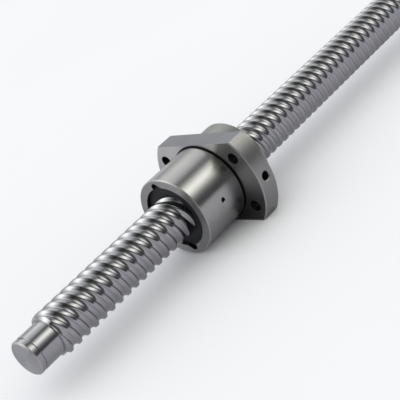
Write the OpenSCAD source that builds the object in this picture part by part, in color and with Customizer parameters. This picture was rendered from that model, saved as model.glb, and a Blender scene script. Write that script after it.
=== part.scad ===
// Ball screw assembly: a four-start screw and a flanged ball nut with two ball circuits.
// X runs along the screw, and Z is the normal of the two flats on the flange.
// The origin is the centre of the flange's front face, on the screw's axis.
// Angles round the screw are counted from +Y towards +Z.

/* [Screw] */
// Outside diameter of the thread
screw_d = 25; // [24.8:0.1:25.1]
// Travel of the nut in one turn
lead = 25; // [24.5:0.5:25.5]
// Length of the threaded part
thread_length = 355; // [300:1:380]
// Length of thread in front of the nut
thread_ahead = 98.5; // [60:0.5:150]
// Angle of the first crest where the thread starts
thread_phase = 7.6; // [4:0.1:11]
// Diameter of the bearing seat at each end
journal_d = 20; // [16:0.5:20.5]
// Length of the near end's journal
near_journal_length = 16; // [14.5:0.5:30]
// Length of the far end's journal
far_journal_length = 29; // [15:1:60]
// Width of the bearing that each journal takes
bearing_width = 12; // [7:0.5:12]

/* [Ball circuits] */
// Diameter of one ball
ball_d = 3.969; // [3.9:0.001:3.969]
// Diameter of the circle that the loaded balls' centres run on
ball_circle_d = 26; // [25.9:0.1:26.1]
// Distance of the return holes from the axis
return_r = 19; // [18.8:0.1:19.1]
// Angle of the first return hole
return_angle = 80; // [76:1:84]

/* [Nut] */
// Outside diameter of the barrel
barrel_d = 47; // [46:0.5:48]
// Length of the barrel in front of the flange
barrel_length = 32; // [31.5:0.5:33]
// Length of the boss behind the flange
boss_length = 12.5; // [12.5:0.5:15]
// Outside diameter of the flange
flange_d = 74; // [72:0.5:80]
// Thickness of the flange
flange_t = 12; // [10:0.5:12]
// Distance across the two flats of the flange
across_flats = 49; // [49:0.5:54]
// Diameter of the bolt circle
bolt_circle_d = 60; // [58:0.5:62]
// Diameter of each bolt hole
bolt_hole_d = 6.6; // [5.5:0.1:7]
// Angle of the bolt holes from the Y axis
bolt_angle = 30; // [27:1:33]
// Tapping diameter of the oil port
oil_port_d = 5; // [4:0.1:5.2]

/* [Hidden] */
circuits = [1, 2];
$fn = 96;
eps = 0.1;

// Thread
starts = 4;
crest_r = screw_d / 2;
root_r = crest_r - 1.5;
degrees_per_mm = 360 / lead;
thread_x = -barrel_length - thread_ahead;
thread_end_x = thread_x + thread_length;
first_groove = thread_phase + 180 / starts;
ball_circle_r = ball_circle_d / 2;
lead_angle = atan(lead / (2 * PI * ball_circle_r));
shaft_slices_per_turn = 16;
nut_slices_per_turn = 24;
end_chamfer = 0.8;

// Journals and the grooves for their retaining rings
journal_r = journal_d / 2;
near_end_x = thread_x - near_journal_length;
far_end_x = thread_end_x + far_journal_length;
ring_groove_w = 1.3;
ring_groove_depth = 0.5;

// Ball circuits: the balls leave the thread on a tangent and turn into an axial return hole
ball_r = ball_d / 2;
channel_r = ball_r + 0.115;
return_hole_r = ball_r + 0.215;
turn_angle = acos(ball_circle_r / return_r);
turn_length = sqrt(pow(return_r, 2) - pow(ball_circle_r, 2));
climb_length = 6.4;
climb_slope = 0.22;
climb = climb_length * climb_slope;
knee_r = channel_r + 0.03;
front_turn_angle = return_angle + turn_angle;
rear_turn_angle = return_angle - turn_angle;
turns_between = 2;
front_turn_x = groove_x(front_turn_angle, 6.65 - barrel_length);
rear_turn_x = front_turn_x + (rear_turn_angle - front_turn_angle) / degrees_per_mm + turns_between * lead;
ball_step = ball_d * 1.05;

// Deflectors, the slots that hold them, and what closes the nut's ends
deflector_half_w = 2.45;
slot_half_w = 2.5;
deflector_wall = 2.3;
slot_start = 1.1;
screw_clearance_r = crest_r + 0.3;
front_x = -barrel_length;
rear_x = flange_t + boss_length;
seat_r = 18.5;
seat_depth = 4.6;
ring_t = 0.7;
ring_inset = 0.35;
ring_groove_r = 19.3;
fit_gap = 0.05;
wiper_r = seat_r - 0.1;
wiper_bore_r = crest_r + 0.2;
wiper_back = 1.6;
wiper_recess = 2.2;

// Nut
barrel_r = barrel_d / 2;
flange_r = flange_d / 2;
nut_bore_r = crest_r + 0.8;
edge = 0.6;
relief_w = 1.4;
relief_depth = 0.5;
face_relief_w = 0.7;
face_relief_depth = 0.3;
grub_hole_x = -16;

// Where along the screw a groove's middle stands at one angle, nearest to a wanted place
function groove_x(angle, wanted) =
    let (first = thread_x + (angle - first_groove) / degrees_per_mm, pitch = lead / starts)
    first + pitch * round((wanted - first) / pitch);

function polar(r, a) = [r * cos(a), r * sin(a)];

// Cross-section of a thread with `n` grooves, the first of them at the angle `first`. Each groove is given by
// [half width along the screw, radius] points from its middle outwards, and the lands between the grooves are
// arcs of `steps` straight pieces.
function thread_section(n, first, groove, steps) =
    let (last = len(groove) - 1, edge_a = groove[last][0] * degrees_per_mm, land_r = groove[last][1])
    [for (k = [0 : n - 1])
        let (middle = first + k * 360 / n, land_a = 360 / n - 2 * edge_a)
        each concat(
            [for (j = [last : -1 : 0]) polar(groove[j][1], middle - groove[j][0] * degrees_per_mm)],
            [for (j = [(groove[0][0] > 0 ? 0 : 1) : last])
                polar(groove[j][1], middle + groove[j][0] * degrees_per_mm)],
            [for (j = [1 : steps - 1]) polar(land_r, middle + edge_a + land_a * j / steps)]
        )];

// Turns local Z to X, local X to Y and local Y to Z
module along_x() rotate([90, 0, 90]) children();

module rod(r, x0, x1) translate([x0, 0, 0]) along_x() cylinder(r = r, h = x1 - x0);

// A right-hand thread between two places, in step with the screw's grooves
module helix(section, x0, x1, slices_per_turn) {
    turn = (x0 - thread_x) * degrees_per_mm;
    translate([x0, 0, 0])
        rotate([turn, 0, 0])
            along_x()
                linear_extrude(
                    height = x1 - x0,
                    twist = -(x1 - x0) * degrees_per_mm,
                    slices = ceil((x1 - x0) / lead * slices_per_turn),
                    $fn = 0,
                    $fs = lead
                ) polygon(section);
}

// Screw ------------------------------------------------------------------

module screw_thread() {
    groove = [[1.15 / cos(lead_angle), root_r], [2.1 / cos(lead_angle), crest_r]];
    run_out = 1.4;
    outline = [
        [0, thread_x], [root_r, thread_x], [crest_r + eps, thread_x + run_out],
        [crest_r + eps, thread_end_x - run_out], [root_r, thread_end_x], [0, thread_end_x]
    ];
    section = thread_section(starts, first_groove, groove, 2);
    // Resizing to nothing keeps the size, and makes the trimmed thread one closed mesh
    resize([0, 0, 0])
        intersection() {
            helix(section, thread_x, thread_end_x, shaft_slices_per_turn);
            along_x() rotate_extrude($fn = 40) polygon(outline);
        }
}

// A bearing seat that grows out of a shoulder, with a groove for a retaining ring past the bearing.
// `overlap` is how far it reaches into the thread's core.
module journal(length, overlap = 1) {
    groove_z = bearing_width + 0.05;
    along_x() rotate_extrude() polygon([
        [0, -overlap], [journal_r, -overlap],
        [journal_r, groove_z], [journal_r - ring_groove_depth, groove_z],
        [journal_r - ring_groove_depth, groove_z + ring_groove_w], [journal_r, groove_z + ring_groove_w],
        [journal_r, length - end_chamfer], [journal_r - end_chamfer, length], [0, length]
    ]);
}

module screw_shaft() color([0.62, 0.63, 0.66]) {
    screw_thread();
    translate([thread_x, 0, 0]) mirror([1, 0, 0]) journal(near_journal_length);
    translate([thread_end_x, 0, 0]) journal(far_journal_length);
}

// Ball circuits ----------------------------------------------------------

// Places what is drawn for a turn: local +Y is the radius where the balls leave the thread,
// local +Z the way that they leave, and local -X the nearer end of the nut.
module front_turn(i)
    translate([front_turn_x, 0, 0])
        rotate([front_turn_angle + 180 * (i - 1), 0, 0]) mirror([0, 0, 1]) children();

module rear_turn(i)
    translate([rear_turn_x, 0, 0])
        rotate([rear_turn_angle + 180 * (i - 1), 0, 0]) mirror([1, 0, 0]) children();

// Round-ended bar along a turn, between two distances from its middle plane
module turn_bar(half_w, start, x0, x1) {
    translate([x0, ball_circle_r - half_w, -start]) cube([x1 - x0, 2 * half_w, turn_length + start]);
    translate([0, ball_circle_r, turn_length]) rod(half_w, x0, x1);
}

// The ball's way through a turn: up the thread's slope until it clears the crests, then level to the
// return hole. It reaches past both ends of the deflector.
module turn_channel() {
    climb_angle = atan(climb_slope);
    lead_in = 3;
    lead_out = 10;
    translate([0, ball_circle_r, 0]) {
        rotate([0, -climb_angle, 0])
            translate([0, 0, -lead_in])
                cylinder(r = channel_r, h = lead_in + climb_length / cos(climb_angle));
        translate([-climb, 0, climb_length]) sphere(r = knee_r);
        translate([-climb, 0, climb_length]) cylinder(r = channel_r, h = turn_length - climb_length);
        translate([-climb, 0, turn_length]) {
            sphere(r = knee_r);
            rod(channel_r, 0, lead_out);
        }
    }
}

// Half of a deflector. The two halves part at the middle of the level stretch.
module deflector_half(half) {
    x0 = half == "outer" ? -climb - deflector_wall : -climb;
    x1 = half == "outer" ? -climb : deflector_wall;
    color([0.09, 0.09, 0.1]) difference() {
        turn_bar(deflector_half_w, slot_start - eps, x0, x1);
        rod(screw_clearance_r, x0 - eps, x1 + eps);
        turn_channel();
    }
}

module front_deflector(i, half) front_turn(i) deflector_half(half);

module rear_deflector(i, half) rear_turn(i) deflector_half(half);

module ball() color([0.8, 0.81, 0.83]) sphere(r = ball_r, $fn = 24);

module loaded_balls(i) {
    sweep = (rear_turn_x - front_turn_x) * degrees_per_mm;
    path = sweep * PI / 180 * ball_circle_r / cos(lead_angle);
    n = floor(path / ball_step);
    for (j = [0 : n])
        translate([front_turn_x + sweep * j / n / degrees_per_mm, 0, 0])
            rotate([front_turn_angle + 180 * (i - 1) + sweep * j / n, 0, 0])
                translate([0, ball_circle_r, 0]) ball();
}

// The balls inside one deflector, between the thread and the corner of the return hole
module turning_balls() {
    n = floor(turn_length / ball_step);
    for (j = [1 : n - 1]) {
        z = turn_length * j / n;
        translate([-min(z, climb_length) * climb_slope, ball_circle_r, z]) ball();
    }
}

module return_balls(i) {
    x0 = front_turn_x - climb;
    x1 = rear_turn_x + climb;
    n = floor((x1 - x0) / ball_step);
    for (j = [0 : n])
        translate([x0 + (x1 - x0) * j / n, 0, 0])
            rotate([return_angle + 180 * (i - 1), 0, 0]) translate([0, return_r, 0]) ball();
}

module front_turning_balls(i) front_turn(i) turning_balls();

module rear_turning_balls(i) rear_turn(i) turning_balls();

// Nut --------------------------------------------------------------------

// The seam of the turned faces is kept clear of the holes on the Y axis
module nut_blank() {
    seam_angle = 15;
    rotate([seam_angle, 0, 0]) along_x() rotate_extrude() polygon([
        [0, front_x], [barrel_r - edge, front_x], [barrel_r, front_x + edge],
        [barrel_r, -relief_w], [barrel_r - relief_depth, -relief_w],
        [barrel_r - relief_depth, face_relief_depth], [barrel_r + face_relief_w, face_relief_depth],
        [barrel_r + face_relief_w, 0], [flange_r - edge, 0], [flange_r, edge],
        [flange_r, flange_t - edge], [flange_r - edge, flange_t], [barrel_r, flange_t],
        [barrel_r, rear_x - edge], [barrel_r - edge, rear_x], [0, rear_x]
    ]);
}

module flats() {
    for (side = [0, 1])
        mirror([0, 0, side])
            translate([-eps, -flange_r - eps, across_flats / 2])
                cube([flange_t + 2 * eps, flange_d + 2 * eps, flange_r]);
}

module bolt_holes() {
    for (a = [bolt_angle, 180 - bolt_angle, 180 + bolt_angle, -bolt_angle])
        rotate([a, 0, 0]) translate([0, bolt_circle_d / 2, 0]) rod(bolt_hole_d / 2, -eps, flange_t + eps);
}

// Two raceways, each in step with a groove of the screw
module raceways(x0, x1) {
    swell = 1 / cos(180 / nut_slices_per_turn);
    groove = [
        [0, (ball_circle_r + 2.35) * swell],
        [1.3 / cos(lead_angle), (ball_circle_r + 1.85) * swell],
        [2.2 / cos(lead_angle), nut_bore_r * swell]
    ];
    // The circuits' own grooves, traced back to where the thread starts
    first = front_turn_angle - (front_turn_x - thread_x) * degrees_per_mm;
    helix(thread_section(len(circuits), first, groove, 6), x0, x1, nut_slices_per_turn);
}

// The seat for a wiper, drawn for an end at x = 0 with the nut on the +X side
module wiper_seat() rod(seat_r, -eps, seat_depth);

module retaining_ring_groove()
    rod(ring_groove_r, rear_x - ring_inset - ring_t - fit_gap, rear_x - ring_inset + fit_gap);

// The port in the flange's rim, and the passage from it to the raceways
module oil_port() {
    passage_r = 1.5;
    port_r = oil_port_d / 2;
    port_start = barrel_r + 1;
    chamfer = 0.6;
    translate([flange_t / 2, 0, 0]) rotate([90, 0, 0]) {
        cylinder(r = passage_r, h = flange_r);
        translate([0, 0, port_start]) cylinder(r = port_r, h = flange_r);
        translate([0, 0, flange_r - chamfer])
            cylinder(r1 = port_r, r2 = port_r + chamfer + eps, h = chamfer + eps);
    }
}

// A small blind hole in the barrel's side
module grub_hole() {
    hole_r = 1.25;
    depth = 3;
    chamfer = 0.3;
    translate([grub_hole_x, 0, 0]) rotate([90, 0, 0]) {
        translate([0, 0, barrel_r - depth]) cylinder(r = hole_r, h = depth + eps);
        translate([0, 0, barrel_r - chamfer])
            cylinder(r1 = hole_r, r2 = hole_r + chamfer + eps, h = chamfer + eps);
    }
}

module nut_body() color([0.5, 0.5, 0.52]) {
    front_slot = front_turn_x - front_x + eps;
    rear_slot = rear_x - rear_turn_x + eps;
    slot_depth = deflector_wall + fit_gap;
    difference() {
        nut_blank();
        flats();
        bolt_holes();
        translate([front_x, 0, 0]) wiper_seat();
        translate([rear_x, 0, 0]) mirror([1, 0, 0]) wiper_seat();
        retaining_ring_groove();
        for (i = circuits) {
            front_turn(i) turn_bar(slot_half_w, slot_start, -front_slot, slot_depth);
            rear_turn(i) turn_bar(slot_half_w, slot_start, -rear_slot, slot_depth);
            rotate([return_angle + 180 * (i - 1), 0, 0])
                translate([0, return_r, 0]) rod(return_hole_r, front_turn_x, rear_turn_x);
        }
        oil_port();
        grub_hole();
        raceways(front_x + seat_depth - eps, rear_x - seat_depth + eps);
    }
}

// Wipers and the rear one's retaining ring --------------------------------

module front_wiper() {
    x0 = front_x + wiper_recess;
    x1 = front_turn_x - climb - deflector_wall - eps;
    ear_half_w = slot_half_w - 0.1;
    color([0.08, 0.08, 0.09]) difference() {
        union() {
            rod(wiper_r, x0, x1 + wiper_back);
            for (i = circuits) front_turn(i) turn_bar(ear_half_w, 0, x0 - front_turn_x, x1 - front_turn_x);
        }
        rod(wiper_bore_r, x0 - eps, x1 + wiper_back + eps);
        for (i = circuits) front_turn(i) turn_bar(slot_half_w, slot_start, x1 - front_turn_x, 0);
    }
}

module rear_wiper() {
    x1 = rear_x - ring_inset - ring_t - eps;
    x0 = rear_turn_x + climb + deflector_wall + eps;
    ear_half_w = slot_half_w - 0.1;
    color([0.08, 0.08, 0.09]) difference() {
        union() {
            rod(wiper_r, x0 - wiper_back, x1);
            for (i = circuits) rear_turn(i) turn_bar(ear_half_w, 0, rear_turn_x - x1, rear_turn_x - x0);
        }
        rod(wiper_bore_r, x0 - wiper_back - eps, x1 + eps);
        for (i = circuits) rear_turn(i) turn_bar(slot_half_w, slot_start, rear_turn_x - x0, 0);
    }
}

// An open ring that snaps into the groove behind the rear wiper
module rear_retaining_ring() {
    gap = 9;
    ring_w = 2.3;
    ring_r = ring_groove_r - 0.1;
    x0 = rear_x - ring_inset - ring_t;
    color([0.12, 0.12, 0.13]) difference() {
        rod(ring_r, x0, x0 + ring_t);
        rod(ring_r - ring_w, x0 - eps, x0 + ring_t + eps);
        translate([x0 - eps, 0, -gap / 2]) cube([ring_t + 2 * eps, flange_r, gap]);
    }
}

screw_shaft();
rear_retaining_ring();
nut_body();
front_wiper();
rear_wiper();
for (i = circuits) {
    for (half = ["inner", "outer"]) {
        front_deflector(i, half);
        rear_deflector(i, half);
    }
    loaded_balls(i);
    front_turning_balls(i);
    rear_turning_balls(i);
    return_balls(i);
}
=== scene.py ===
"""Ball screw assembly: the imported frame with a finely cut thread, steel and plastic finishes and light."""
import math

import bpy
from mathutils import Matrix, Vector


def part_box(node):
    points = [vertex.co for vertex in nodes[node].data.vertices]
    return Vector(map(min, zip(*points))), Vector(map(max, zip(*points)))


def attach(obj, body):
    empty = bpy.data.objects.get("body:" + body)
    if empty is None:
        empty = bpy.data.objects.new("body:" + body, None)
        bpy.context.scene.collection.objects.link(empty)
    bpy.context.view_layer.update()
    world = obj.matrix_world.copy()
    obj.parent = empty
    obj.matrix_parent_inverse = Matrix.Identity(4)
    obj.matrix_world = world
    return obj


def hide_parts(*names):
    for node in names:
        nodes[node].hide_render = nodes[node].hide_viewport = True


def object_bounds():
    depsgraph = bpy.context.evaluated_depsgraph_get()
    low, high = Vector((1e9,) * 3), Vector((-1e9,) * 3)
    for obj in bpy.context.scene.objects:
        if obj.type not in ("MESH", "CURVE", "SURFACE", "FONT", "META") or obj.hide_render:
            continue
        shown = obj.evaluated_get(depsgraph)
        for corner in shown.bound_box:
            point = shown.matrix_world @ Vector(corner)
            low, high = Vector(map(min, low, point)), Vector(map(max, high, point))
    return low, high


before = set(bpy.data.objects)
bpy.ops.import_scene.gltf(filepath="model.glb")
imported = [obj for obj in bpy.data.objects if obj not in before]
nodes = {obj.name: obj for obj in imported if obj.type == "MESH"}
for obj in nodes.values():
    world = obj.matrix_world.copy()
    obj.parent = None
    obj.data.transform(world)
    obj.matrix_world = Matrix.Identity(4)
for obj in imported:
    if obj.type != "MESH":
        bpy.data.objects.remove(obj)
cad_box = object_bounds()
MM = 0.001

# Sizes of the screw, in millimetres, as part.scad has them
LEAD = 25.0
STARTS = 4
PITCH = LEAD / STARTS
CREST_R = 12.5
ROOT_R = 11.0
BALL_CIRCLE_R = 13.0
THREAD_PHASE = 7.6
JOURNAL_R = 10.0
NEAR_JOURNAL = 16.0
FAR_JOURNAL = 29.0
END_CHAMFER = 0.8
# From the thread's shoulder to the retaining ring's groove: the bearing's width and its gap
SEAT_LENGTH = 12.05
RING_GROOVE_W = 1.3
RING_GROOVE_R = 9.5

# Sizes of the nut, in millimetres, as part.scad has them. The flange's front face is at 0.
BARREL_R = 23.5
FLANGE_R = 37.0
FLANGE_T = 12.0
BOLT_CIRCLE_R = 30.0
BOLT_ANGLE = 30.0
BOLT_HOLE_R = 3.3
OIL_PORT_R = 2.5
BLIND_HOLE_R = 1.25
BLIND_HOLE_X = -16.0
BLIND_HOLE_BOTTOM = -19.0
RELIEF_W = 1.4
FACE_RELIEF_W = 0.7
FACE_RELIEF_DEPTH = 0.3
NUT_CHAMFER = 0.6
WIPER_BORE_R = 12.7
# Everything of the nut that is nearer the axis lies inside it
INSIDE_R = 22.0
# How far a shaded zone reaches past the surfaces that it is for
SKIN = 0.05

# The camera: where it looks, in millimetres, and how it is turned, in degrees
TARGET = Vector((-11.55, 0.0, -3.2))
DISTANCE = 573.0
AZIMUTH = -37.99
ELEVATION = 23.16
ROLL = -26.91
FOCAL_LENGTH = 95.27
SENSOR_WIDTH = 36.0

# The light that steel mirrors, as (angle, brightness) round the screw, in five directions along it. Angles
# are counted from +Y towards +Z. The two numbers before each list are the values of the mirrored direction's
# X between which it takes over from the list before. The fourth list is the one that the barrel mirrors.
MIRRORED = [
    (-1.0, -0.9, [
        (-40, 0.5), (-5, 1.0), (18, 0.6), (32, 1.1), (44, 2.1), (54, 2.6), (65, 1.75), (75, 0.95),
        (85, 0.42), (95, 0.16), (105, 0.05), (115, 0.01), (135, 0.03), (155, 0.12), (170, 0.03),
    ]),
    (-0.8, -0.2, [
        (-40, 0.5), (-5, 1.0), (18, 0.5), (35, 0.8), (45, 1.4), (54, 1.9), (65, 1.3), (75, 0.85),
        (85, 0.48), (95, 0.22), (106, 0.1), (116, 0.14), (128, 0.36), (138, 0.4), (150, 0.22),
        (165, 0.06), (178, 0.03),
    ]),
    (-0.2, 0.2, [
        (-40, 0.55), (-5, 1.0), (18, 0.45), (35, 0.9), (48, 1.5), (57, 1.25), (66, 0.8), (75, 0.65),
        (85, 0.4), (95, 0.14), (105, 0.26), (115, 0.9), (125, 1.55), (136, 1.0), (146, 0.36),
        (157, 0.2), (167, 0.07), (178, 0.1),
    ]),
    (0.28, 0.52, [
        (-40, 0.55), (-5, 1.0), (8, 0.9), (18, 0.4), (27, 0.48), (38, 0.82), (55, 1.1), (70, 1.0),
        (80, 0.85), (90, 0.36), (98, 0.07), (106, 0.4), (114, 1.15), (128, 2.1), (139, 1.25),
        (149, 0.38), (158, 0.12), (168, 0.04), (178, 0.08),
    ]),
    (0.61, 0.88, [
        (-40, 0.5), (-5, 0.9), (25, 0.4), (35, 0.45), (55, 0.55), (75, 0.48), (88, 0.55), (97, 0.65),
        (106, 0.85), (116, 1.35), (126, 1.75), (136, 0.95), (146, 0.42), (157, 0.22), (170, 0.1),
    ]),
]
# The light that falls on everything else, in the same way
DOME = [(0, 1.0), (60, 1.095), (120, 1.115), (180, 1.035)]
# The painted reflection: a light and dark fan pattern round a turned face, in the same way
PAINTED_REFLECTION_FANS = [
    (-180, 0.6), (-163, 0.33), (-135, 0.22), (-110, 0.3), (-60, 0.65), (0, 1.1), (30, 1.45), (55, 1.55),
    (80, 1.15), (100, 0.8), (115, 0.85), (124, 1.0), (131, 0.42), (141, 0.36), (153, 0.6), (165, 0.72),
    (180, 0.6),
]

# The steel's finish on end faces, edges and in holes, and the rougher one of the flange and the boss. Painted
# into its colour: a painted highlight on the edges, painted shade in the holes and on the flange's level
# faces, and a darker tone that is part duller finish and part painted shade. All that is further from the
# axis than
# `MATTE_R` belongs to the flange.
MATTE_R = 24.5
END_FACE_ROUGHNESS = 0.32
END_FACE_ANISOTROPY = 0.9
MATTE_ROUGHNESS = 0.42
MATTE_AND_PAINTED_SHADE = 0.78
LEVEL_PAINTED_SHADE = (0.63, 0.65, 0.71)
EDGE_HIGHLIGHT_COLOUR = (0.55, 0.55, 0.54)
HOLE_PAINTED_SHADE = (0.035, 0.034, 0.033)
WORN_ROUGHNESS = 0.5


# Meshes -------------------------------------------------------------------

def make_object(name, verts, faces, sharp=32):
    """A smooth-shaded object from points in millimetres. Edges over `sharp` degrees stay crisp."""
    mesh = bpy.data.meshes.new(name)
    mesh.from_pydata([(x * MM, y * MM, z * MM) for x, y, z in verts], [], faces)
    mesh.validate()
    mesh.shade_smooth()
    mesh.set_sharp_from_angle(angle=math.radians(sharp))
    made = bpy.data.objects.new(name, mesh)
    bpy.context.scene.collection.objects.link(made)
    return made


def on_screw(x, radius, degrees):
    a = math.radians(degrees)
    return (x, radius * math.cos(a), radius * math.sin(a))


def groove_radius(offset):
    """Radius of the gothic-arch groove, `offset` mm along the screw from the groove's middle."""
    arc_r = 2.1
    arch = 0.12
    lead_angle = math.atan(LEAD / (2 * math.pi * BALL_CIRCLE_R))
    across = abs(offset) * math.cos(lead_angle) + arch
    if across >= arc_r:
        return CREST_R
    return min(CREST_R, BALL_CIRCLE_R - math.sqrt(arc_r ** 2 - across ** 2))


def thread_outline():
    """(angle, radius) pairs round the whole screw at the first crest, with the lands' edges rounded."""
    steps = 30
    spread = 0.11
    window = range(-3, 4)
    outline = []
    for k in range(STARTS):
        for i in range(steps):
            offset = PITCH * i / steps
            near = [groove_radius(abs((offset + w * spread) % PITCH - PITCH / 2)) for w in window]
            outline.append((THREAD_PHASE + (k * PITCH + offset) / LEAD * 360, sum(near) / len(near)))
    return outline


def screw_rings(near_end, thread_start, thread_end, far_end):
    """Cross-sections from one end of the screw to the other, as (x, limit, follows the thread)."""
    edge = 0.06
    bulge = 0.42

    def journal(shoulder, end):
        way = 1 if end > shoulder else -1
        groove = shoulder + way * SEAT_LENGTH
        groove_end = groove + way * RING_GROOVE_W
        rows = [
            (end, JOURNAL_R - END_CHAMFER),
            (end - way * END_CHAMFER / 2, JOURNAL_R - END_CHAMFER * bulge),
            (end - way * END_CHAMFER, JOURNAL_R),
            (groove_end + way * edge, JOURNAL_R),
            (groove_end, JOURNAL_R - edge),
            (groove_end, RING_GROOVE_R),
            (groove, RING_GROOVE_R),
            (groove, JOURNAL_R - edge),
            (groove - way * edge, JOURNAL_R),
            (shoulder + way * edge, JOURNAL_R),
            (shoulder, JOURNAL_R + edge),
        ]
        return [(x, r, False) for x, r in (rows if way < 0 else reversed(rows))]

    run_out = 1.4
    rise = (CREST_R - ROOT_R) / run_out
    fine_step = 0.1
    coarse_step = 0.5
    thread = []
    x = thread_start
    while x < thread_end - 1e-6:
        to_end = min(x - thread_start, thread_end - x)
        thread.append((x, ROOT_R + rise * to_end if to_end < run_out else CREST_R, True))
        x += fine_step if to_end < 2 * run_out else coarse_step
    thread.append((thread_end, ROOT_R, True))
    return journal(thread_start, near_end) + thread + journal(thread_end, far_end)


def build_screw():
    thread_start = near_end + NEAR_JOURNAL
    thread_end = far_end - FAR_JOURNAL
    outline = thread_outline()
    count = len(outline)
    verts = []
    faces = []
    for x, limit, threaded in screw_rings(near_end, thread_start, thread_end, far_end):
        turn = (min(max(x, thread_start), thread_end) - thread_start) / LEAD * 360
        for angle, radius in outline:
            verts.append(on_screw(x, min(radius, limit) if threaded else limit, angle + turn))
    rings = len(verts) // count
    for i in range(rings - 1):
        for j in range(count):
            k = (j + 1) % count
            faces.append((i * count + j, i * count + k, (i + 1) * count + k, (i + 1) * count + j))
    for x, first, flip in ((near_end, 0, True), (far_end, (rings - 1) * count, False)):
        centre = len(verts)
        verts.append((x, 0, 0))
        for j in range(count):
            a, b = first + j, first + (j + 1) % count
            faces.append((centre, b, a) if flip else (centre, a, b))
    return make_object("screw", verts, faces)


def build_lip(name, node, x0, x1):
    """The part of a wiper that follows the thread, from `x0` to `x1` mm past the low end of `node`."""
    gap = 0.14
    least_wall = 0.05
    outer_r = WIPER_BORE_R + 0.06
    step = 0.25
    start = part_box(node)[0].x / MM
    outline = thread_outline()
    count = len(outline)
    rings = round((x1 - x0) / step) + 1
    verts = []
    faces = []
    for i in range(rings):
        x = start + x0 + (x1 - x0) * i / (rings - 1)
        turn = (x - near_end - NEAR_JOURNAL) / LEAD * 360
        inner = [min(radius + gap, outer_r - least_wall) for _, radius in outline]
        for radii in (inner, [outer_r] * count):
            verts += [on_screw(x, r, angle + turn) for r, (angle, _) in zip(radii, outline)]
    for i in range(rings - 1):
        for j in range(count):
            k = (j + 1) % count
            a, b = 2 * i * count, 2 * (i + 1) * count
            faces.append((a + j, b + j, b + k, a + k))
            faces.append((a + count + j, a + count + k, b + count + k, b + count + j))
    for first, flip in ((0, False), (2 * (rings - 1) * count, True)):
        for j in range(count):
            k = (j + 1) % count
            face = (first + j, first + k, first + count + k, first + count + j)
            faces.append(face[::-1] if flip else face)
    return make_object(name, verts, faces)


# Materials ----------------------------------------------------------------

def add(tree, kind, values=None, **settings):
    """Adds a shader node. `values` sets its inputs, and links those that are given as sockets."""
    made = tree.nodes.new("ShaderNode" + kind)
    for key, value in settings.items():
        setattr(made, key, value)
    for key, value in (values or {}).items():
        if isinstance(value, bpy.types.NodeSocket):
            tree.links.new(value, made.inputs[key])
        else:
            made.inputs[key].default_value = value
    return made


def calc(tree, operation, a, b=0.0, c=0.0):
    return add(tree, "Math", {0: a, 1: b, 2: c}, operation=operation).outputs[0]


def blend(tree, amount, low, high):
    return add(tree, "Mix", {0: amount, 2: low, 3: high}, data_type="FLOAT").outputs[0]


def mix_colour(tree, amount, low, high):
    """Either colour may be a socket or three numbers."""
    low, high = (c if isinstance(c, bpy.types.NodeSocket) else (*c, 1.0) for c in (low, high))
    return add(tree, "Mix", {0: amount, 6: low, 7: high}, data_type="RGBA").outputs[2]


def noise(tree, scale, detail=2.0, rough=0.5, vector=None, w=None):
    """Noise in space, or along a line where `w` is given."""
    made = add(tree, "TexNoise", {"Scale": scale, "Detail": detail, "Roughness": rough})
    made.noise_dimensions = "3D" if w is None else "1D"
    if vector is not None:
        tree.links.new(vector, made.inputs["Vector"])
    if w is not None:
        tree.links.new(w, made.inputs["W"])
    return made.outputs["Fac"]


def ramp(tree, fac, stops):
    """Colours at rising places from 0 to 1."""
    made = add(tree, "ValToRGB", {0: fac})
    elements = made.color_ramp.elements
    ends = ((elements[0], stops[0]), (elements[1], stops[-1]))
    for element, (place, colour) in ends:
        element.position = place
        element.color = (*colour, 1.0)
    for place, colour in stops[1:-1]:
        elements.new(place).color = (*colour, 1.0)
    return made.outputs[0]


def new_material(name, **values):
    """A material with one shader: returns it, its tree, its shader and a point's place on the piece."""
    made = bpy.data.materials.new(name)
    made.use_nodes = True
    tree = made.node_tree
    shader = tree.nodes["Principled BSDF"]
    for key, value in values.items():
        shader.inputs[key.replace("_", " ")].default_value = value
    place = add(tree, "TexCoord").outputs["Object"]
    return made, tree, shader, place


def shaft_coordinates(tree, place):
    """Distance along the screw and distance from its axis, in millimetres."""
    split = add(tree, "SeparateXYZ", {0: place})
    flat = add(tree, "CombineXYZ", {1: split.outputs[1], 2: split.outputs[2]})
    radius = add(tree, "VectorMath", {0: flat.outputs[0]}, operation="LENGTH").outputs["Value"]
    return [calc(tree, "MULTIPLY", s, 1 / MM) for s in (split.outputs[0], radius)]


def facing(tree, axis, over):
    """1 on faces whose normal has more than `over` along X (0), Y (1) or Z (2), 0 elsewhere."""
    normal = add(tree, "NewGeometry").outputs["Normal"]
    along = add(tree, "SeparateXYZ", {0: normal}).outputs[axis]
    return calc(tree, "GREATER_THAN", calc(tree, "ABSOLUTE", along), over)


def facing_end(tree):
    return facing(tree, 0, 0.8)


def facing_up(tree):
    return facing(tree, 2, 0.9)


def round_axis(tree, place):
    """Where a point or a direction is round the screw: 0 to 1, from -Y through -Z, +Y and +Z."""
    split = add(tree, "SeparateXYZ", {0: place})
    turn = calc(tree, "ARCTAN2", split.outputs[2], split.outputs[1])
    return calc(tree, "MULTIPLY_ADD", turn, 0.5 / math.pi, 0.5)


def light_round(tree, place, levels, colour_at):
    """Colours from (angle, brightness) pairs. `colour_at` gives an angle's colour at brightness 1."""
    stops = [((a + 180) / 360, tuple(level * c for c in colour_at(a))) for a, level in levels]
    return ramp(tree, place, stops)


def painted_reflection_fans(tree):
    """Painted reflection: brightness round a turned face. It stays with the light when the piece turns."""
    place = round_axis(tree, add(tree, "NewGeometry").outputs["Position"])
    return light_round(tree, place, PAINTED_REFLECTION_FANS, lambda angle: (1.0, 1.0, 1.0))


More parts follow.
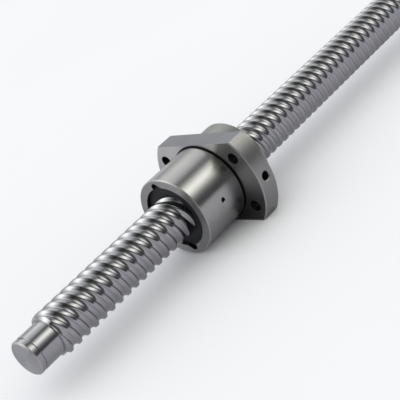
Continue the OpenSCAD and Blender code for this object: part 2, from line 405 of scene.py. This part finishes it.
def inside_rings(tree, along, radius, rings):
    """1 inside any ring round the screw, 0 elsewhere. A ring is its two radii and its two ends."""
    found = 0.0
    for r0, r1, x0, x1 in rings:
        here = 1.0
        for measure, least, most in ((radius, r0, r1), (along, x0, x1)):
            here = calc(tree, "MULTIPLY", here, calc(tree, "GREATER_THAN", measure, least))
            here = calc(tree, "MULTIPLY", here, calc(tree, "LESS_THAN", measure, most))
        found = calc(tree, "MAXIMUM", here, found)
    return found


def inside_holes(tree, place, holes):
    """1 inside any of the holes, 0 elsewhere. A hole is the axis that it runs along ("x" or "y"), the two
    other coordinates of its middle, its radius and the coordinate along its axis that it stays below."""
    x, y, z = add(tree, "SeparateXYZ", {0: place}).outputs
    found = 0.0
    for axis, u, v, radius, below in holes:
        first, along = (y, x) if axis == "x" else (x, y)
        flat = add(tree, "CombineXYZ", {0: first, 1: z}).outputs[0]
        middle = (u * MM, v * MM, 0.0)
        gap = add(tree, "VectorMath", {0: flat, 1: middle}, operation="DISTANCE").outputs["Value"]
        inside = calc(tree, "LESS_THAN", gap, radius * MM)
        here = calc(tree, "MULTIPLY", inside, calc(tree, "LESS_THAN", along, below * MM))
        found = calc(tree, "MAXIMUM", here, found)
    return found


def matte_finish_and_painted_light(tree, colour, roughness, along, radius, end_face, matte):
    """The rougher finish past `matte`: a distance from the axis, and one along it. Its darker tone is part
    duller finish and part painted shade, with a painted reflection pattern on the flange's end faces and
    painted shade on its level faces.
    """
    flange = calc(tree, "GREATER_THAN", radius, matte[0])
    boss = calc(tree, "GREATER_THAN", along, matte[1])
    either = calc(tree, "MAXIMUM", flange, boss)
    roughness = blend(tree, either, roughness, MATTE_ROUGHNESS)
    # A darker tone on the flange, the boss and end faces: part duller finish, part painted shade
    shade = blend(tree, calc(tree, "MAXIMUM", either, end_face), 1.0, MATTE_AND_PAINTED_SHADE)
    # Painted reflection: a light and dark fan pattern on the flange's end faces, fixed to the light
    shade = mix_colour(tree, calc(tree, "MULTIPLY", end_face, flange), shade, painted_reflection_fans(tree))
    # Painted shade: the flange's level faces are darker and cooler in the colour
    shade = mix_colour(tree, calc(tree, "MULTIPLY", facing_up(tree), flange), shade, LEVEL_PAINTED_SHADE)
    colour = add(tree, "VectorMath", {0: colour, 1: shade}, operation="MULTIPLY").outputs[0]
    return colour, roughness


def steel(name, low, high, rough, spread, aniso, grain_mm, bump_mm, holes=(), rings=(), edges=(), matte=None):
    """Turned or ground steel: fine rings round the axis and long soft stains. The `edges` get a painted
    highlight, the `holes` and `rings` are dark inside with painted shade, and `matte` is where a rougher,
    darker finish starts, partly painted light."""
    # A quarter turn stretches the highlights across the turning marks
    made, tree, shader, place = new_material(name, Metallic=1.0, Anisotropic_Rotation=0.25)
    along, radius = shaft_coordinates(tree, place)
    end_face = facing_end(tree)
    tree.links.new(blend(tree, end_face, aniso, END_FACE_ANISOTROPY), shader.inputs["Anisotropic"])
    line = blend(tree, end_face, along, radius)
    grain = noise(tree, 1 / grain_mm, detail=4, rough=0.65, w=line)
    band = noise(tree, 0.12 / grain_mm, detail=2, w=line)
    stain = noise(tree, 55.0, detail=3, vector=place)
    tone = calc(tree, "ADD", calc(tree, "MULTIPLY", grain, 0.35), calc(tree, "MULTIPLY", stain, 0.65))
    colour = ramp(tree, tone, [(0.3, low), (0.7, high)])
    wear = blend(tree, 0.5, grain, band)
    roughness = blend(tree, wear, rough - spread, rough + spread)
    roughness = blend(tree, end_face, roughness, END_FACE_ROUGHNESS)
    if matte:
        colour, roughness = matte_finish_and_painted_light(tree, colour, roughness, along, radius, end_face, matte)
    if edges:
        edge = inside_rings(tree, along, radius, edges)
        # Painted highlight: the chamfered edges are lighter in the colour
        colour = mix_colour(tree, edge, colour, EDGE_HIGHLIGHT_COLOUR)
        roughness = blend(tree, edge, roughness, WORN_ROUGHNESS)
    if holes:
        in_hole = inside_holes(tree, place, holes)
        inside = calc(tree, "MAXIMUM", in_hole, inside_rings(tree, along, radius, rings))
        # Painted shade: the insides of holes, bore and reliefs are near black in the colour
        colour = mix_colour(tree, inside, colour, HOLE_PAINTED_SHADE)
        roughness = blend(tree, inside, roughness, WORN_ROUGHNESS)
    tree.links.new(colour, shader.inputs["Base Color"])
    tree.links.new(roughness, shader.inputs["Roughness"])
    tangent = add(tree, "Tangent", direction_type="RADIAL", axis="X")
    tree.links.new(tangent.outputs[0], shader.inputs["Tangent"])
    bump = add(tree, "Bump", {"Height": grain, "Distance": bump_mm * MM, "Strength": 1.0})
    tree.links.new(bump.outputs[0], shader.inputs["Normal"])
    return made


def plastic(name, low, high, rough):
    """Turned plastic: a fine sparkle of glass fibre, faint flow marks and the lathe's rings on end faces."""
    made, tree, shader, place = new_material(name, Specular_IOR_Level=0.3)
    fibre = noise(tree, 2600.0, detail=3, rough=0.7, vector=place)
    flow = noise(tree, 160.0, detail=4, vector=place)
    _, radius = shaft_coordinates(tree, place)
    marks = calc(tree, "MULTIPLY", noise(tree, 1.6, detail=2, w=radius), facing_end(tree))
    tone = blend(tree, 0.5, flow, marks)
    tree.links.new(ramp(tree, tone, [(0.2, low), (0.6, high)]), shader.inputs["Base Color"])
    tree.links.new(blend(tree, fibre, rough - 0.1, rough + 0.12), shader.inputs["Roughness"])
    height = calc(tree, "MULTIPLY_ADD", marks, 4.0, fibre)
    bump = add(tree, "Bump", {"Height": height, "Distance": 0.02 * MM, "Strength": 0.5})
    tree.links.new(bump.outputs[0], shader.inputs["Normal"])
    return made


def dress(piece, material):
    piece.data.materials.clear()
    piece.data.materials.append(material)


# Pieces -------------------------------------------------------------------

def nut_holes():
    """The four bolt holes, the oil port in the flange's rim and the blind hole in the barrel's side."""
    bolt_y = BOLT_CIRCLE_R * math.cos(math.radians(BOLT_ANGLE))
    bolt_z = BOLT_CIRCLE_R * math.sin(math.radians(BOLT_ANGLE))
    holes = [
        ("x", side * bolt_y, way * bolt_z, BOLT_HOLE_R + SKIN, FLANGE_T + SKIN)
        for side in (1, -1) for way in (1, -1)
    ]
    holes.append(("y", FLANGE_T / 2, 0.0, OIL_PORT_R + SKIN, -MATTE_R))
    holes.append(("y", BLIND_HOLE_X, 0.0, BLIND_HOLE_R + SKIN, BLIND_HOLE_BOTTOM))
    return holes


def nut_rings():
    """The nut's inside, and the undercut and face relief where its barrel meets the flange."""
    return [
        (0.0, INSIDE_R, barrel_end + SKIN, boss_end - SKIN),
        (0.0, BARREL_R - SKIN, -RELIEF_W - SKIN, FACE_RELIEF_DEPTH + SKIN),
        (0.0, BARREL_R + FACE_RELIEF_W + SKIN, SKIN, FACE_RELIEF_DEPTH + SKIN),
    ]


def nut_edge(radius, face, way):
    """The chamfer between a face and a round side. `way` is 1 where the metal lies towards +X."""
    x0, x1 = sorted((face + way * SKIN / 2, face + way * (NUT_CHAMFER - SKIN)))
    return (radius - NUT_CHAMFER + SKIN, radius - SKIN / 2, x0, x1)


def screw_edge(face, way):
    """The chamfer at one end of the screw, and the rim of that end's face."""
    x0, x1 = sorted((face - way * SKIN, face + way * (END_CHAMFER + SKIN / 2)))
    return (JOURNAL_R - END_CHAMFER - 2 * SKIN, JOURNAL_R + SKIN / 2, x0, x1)


near_end, far_end = (corner.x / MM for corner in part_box("screw_shaft"))
barrel_end, boss_end = (corner.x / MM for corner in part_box("nut_body"))
nut_steel = steel(
    "nut_steel", (0.45, 0.445, 0.435), (0.53, 0.525, 0.515), 0.25, 0.03, 0.6, 0.12, 0.0006,
    nut_holes(), nut_rings(),
    [nut_edge(BARREL_R, barrel_end, 1), nut_edge(FLANGE_R, 0.0, 1), nut_edge(FLANGE_R, FLANGE_T, -1)],
    matte=(MATTE_R, FLANGE_T + SKIN),
)
screw_steel = steel(
    "screw_steel", (0.45, 0.45, 0.46), (0.52, 0.52, 0.53), 0.17, 0.03, 0.25, 0.2, 0.0004,
    edges=[screw_edge(near_end, 1), screw_edge(far_end, -1)],
)
ball_steel = steel("ball_steel", (0.62, 0.62, 0.64), (0.74, 0.74, 0.76), 0.07, 0.02, 0.0, 0.4, 0.0004)
wiper_plastic = plastic("wiper_plastic", (0.008, 0.009, 0.012), (0.02, 0.022, 0.028), 0.5)
deflector_plastic = plastic("deflector_plastic", (0.012, 0.012, 0.013), (0.03, 0.03, 0.032), 0.5)
# The retaining ring is blackened, as dull as the plastic
ring_steel = plastic("ring_steel", (0.015, 0.015, 0.017), (0.035, 0.035, 0.038), 0.35)

screw = build_screw()
dress(screw, screw_steel)
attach(screw, "screw")
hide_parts("screw_shaft")

for name, x0, x1 in (("front_wiper", 0.25, 2.2), ("rear_wiper", 0.3, 2.7)):
    lip = build_lip(name + "_lip", name, x0, x1)
    dress(lip, wiper_plastic)
    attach(lip, "nut")

FINISHES = {
    "nut_body": nut_steel, "wiper": wiper_plastic, "deflector": deflector_plastic,
    "balls": ball_steel, "retaining_ring": ring_steel,
}
for name, piece in nodes.items():
    for word, material in FINISHES.items():
        if word in name:
            dress(piece, material)


# Stage --------------------------------------------------------------------

def build_floor():
    level = cad_box[0].z / MM
    side = 20000.0
    corners = [(-side, -side, level), (side, -side, level), (side, side, level), (-side, side, level)]
    floor = make_object("floor", corners, [(0, 1, 2, 3)])
    made, tree, shader, place = new_material("floor_paper", Roughness=0.9, Specular_IOR_Level=0.2)
    soft = noise(tree, 3.0, vector=place)
    seen = ramp(tree, soft, [(0.3, (0.847, 0.853, 0.877)), (0.7, (0.862, 0.868, 0.892))])
    # What the steel mirrors is a greyer table than the paper itself
    mirrored = add(tree, "LightPath").outputs["Is Glossy Ray"]
    colour = mix_colour(tree, mirrored, seen, (0.5, 0.497, 0.54))
    tree.links.new(colour, shader.inputs["Base Color"])
    dress(floor, made)


def build_panel():
    """A soft box parallel to the screw, above it and behind it, which the steel doesn't mirror."""
    angle = math.radians(45)
    distance = 0.95
    data = bpy.data.lights.new("panel_back", "AREA")
    data.shape = "RECTANGLE"
    data.size = 5.0
    data.size_y = 1.0
    data.energy = 1.0
    data.color = (0.97, 0.99, 1.0)
    panel = bpy.data.objects.new("panel_back", data)
    bpy.context.scene.collection.objects.link(panel)
    along = Vector((1.0, 0.0, 0.0))
    away = Vector((0.0, math.cos(angle), math.sin(angle)))
    turn = Matrix((along, along.cross(away), away)).transposed()
    panel.matrix_world = Matrix.Translation(away * distance) @ turn.to_4x4()
    panel.visible_glossy = False
    panel.visible_camera = False


def tint(angle):
    """Both soft boxes are a little warm, and the rest a little cool."""
    if 110 < angle < 142:
        return (1.0, 1.0, 0.95)
    if 42 < angle < 60:
        return (1.0, 1.0, 0.97)
    return (0.96, 0.98, 1.0)


def build_world():
    """Light from all round. Steel mirrors it as two long soft boxes above the screw, with gaps between."""
    world = bpy.data.worlds.new("studio")
    bpy.context.scene.world = world
    world.use_nodes = True
    tree = world.node_tree
    background = tree.nodes["Background"]
    direction = add(tree, "TexCoord").outputs["Generated"]
    along = add(tree, "SeparateXYZ", {0: direction}).outputs[0]
    place = round_axis(tree, direction)
    mirrored = light_round(tree, place, MIRRORED[0][2], tint)
    for start, end, levels in MIRRORED[1:]:
        past = add(tree, "MapRange", {0: along, 1: start, 2: end}).outputs[0]
        mirrored = mix_colour(tree, past, mirrored, light_round(tree, place, levels, tint))
    glossy = add(tree, "LightPath").outputs["Is Glossy Ray"]
    colour = mix_colour(tree, glossy, light_round(tree, place, DOME, tint), mirrored)
    tree.links.new(colour, background.inputs["Color"])


def build_camera():
    data = bpy.data.cameras.new("camera")
    data.lens = FOCAL_LENGTH
    data.sensor_width = SENSOR_WIDTH
    data.clip_end = 100.0
    camera = bpy.data.objects.new("camera", data)
    bpy.context.scene.collection.objects.link(camera)
    az, el, roll = (math.radians(v) for v in (AZIMUTH, ELEVATION, ROLL))
    back = Vector((math.sin(az) * math.cos(el), -math.cos(az) * math.cos(el), math.sin(el)))
    right = Vector((math.cos(az), math.sin(az), 0.0))
    up = back.cross(right)
    rolled_right = right * math.cos(roll) + up * math.sin(roll)
    rolled_up = up * math.cos(roll) - right * math.sin(roll)
    turn = Matrix((rolled_right, rolled_up, back)).transposed()
    camera.matrix_world = Matrix.Translation((TARGET + back * DISTANCE) * MM) @ turn.to_4x4()
    bpy.context.scene.camera = camera


build_floor()
build_world()
build_panel()
build_camera()
bpy.context.scene.view_settings.view_transform = "Standard"
